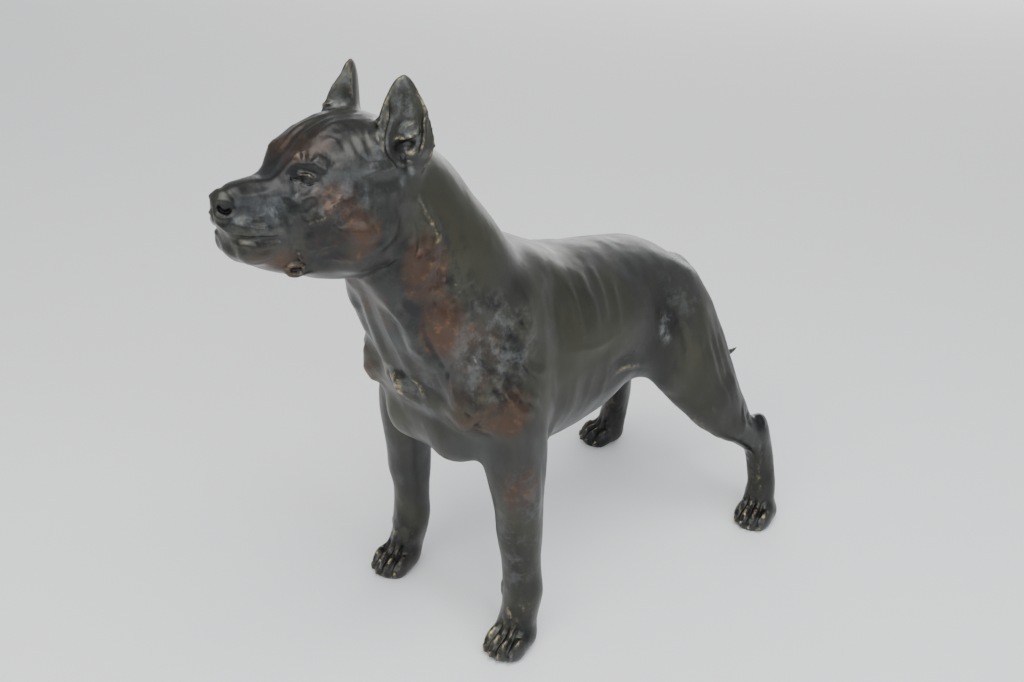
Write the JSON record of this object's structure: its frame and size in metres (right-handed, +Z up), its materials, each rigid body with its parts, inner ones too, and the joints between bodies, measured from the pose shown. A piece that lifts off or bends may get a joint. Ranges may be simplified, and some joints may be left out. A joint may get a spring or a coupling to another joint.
{
  "type": "bull terrier garden statue",
  "caption": "Life-size bronze garden statue of a standing bull terrier with upright ears, alert head and a low tail, on flat soles.",
  "frame": {"origin": "on the ground under the middle of the figure's outline, level with the four soles", "axes": "+Z up, -Y the way the dog looks, +X the dog's left side"},
  "size_m": [0.3548, 0.8888, 0.7194],
  "materials": {
    "bronze": "cast bronze with a dark olive and graphite patina under gloss lacquer, rubbed to gold on edges and toes"
  },
  "bodies": {
    "root": {"bull_terrier_figure": "bronze"}
  },
  "joints": []
}
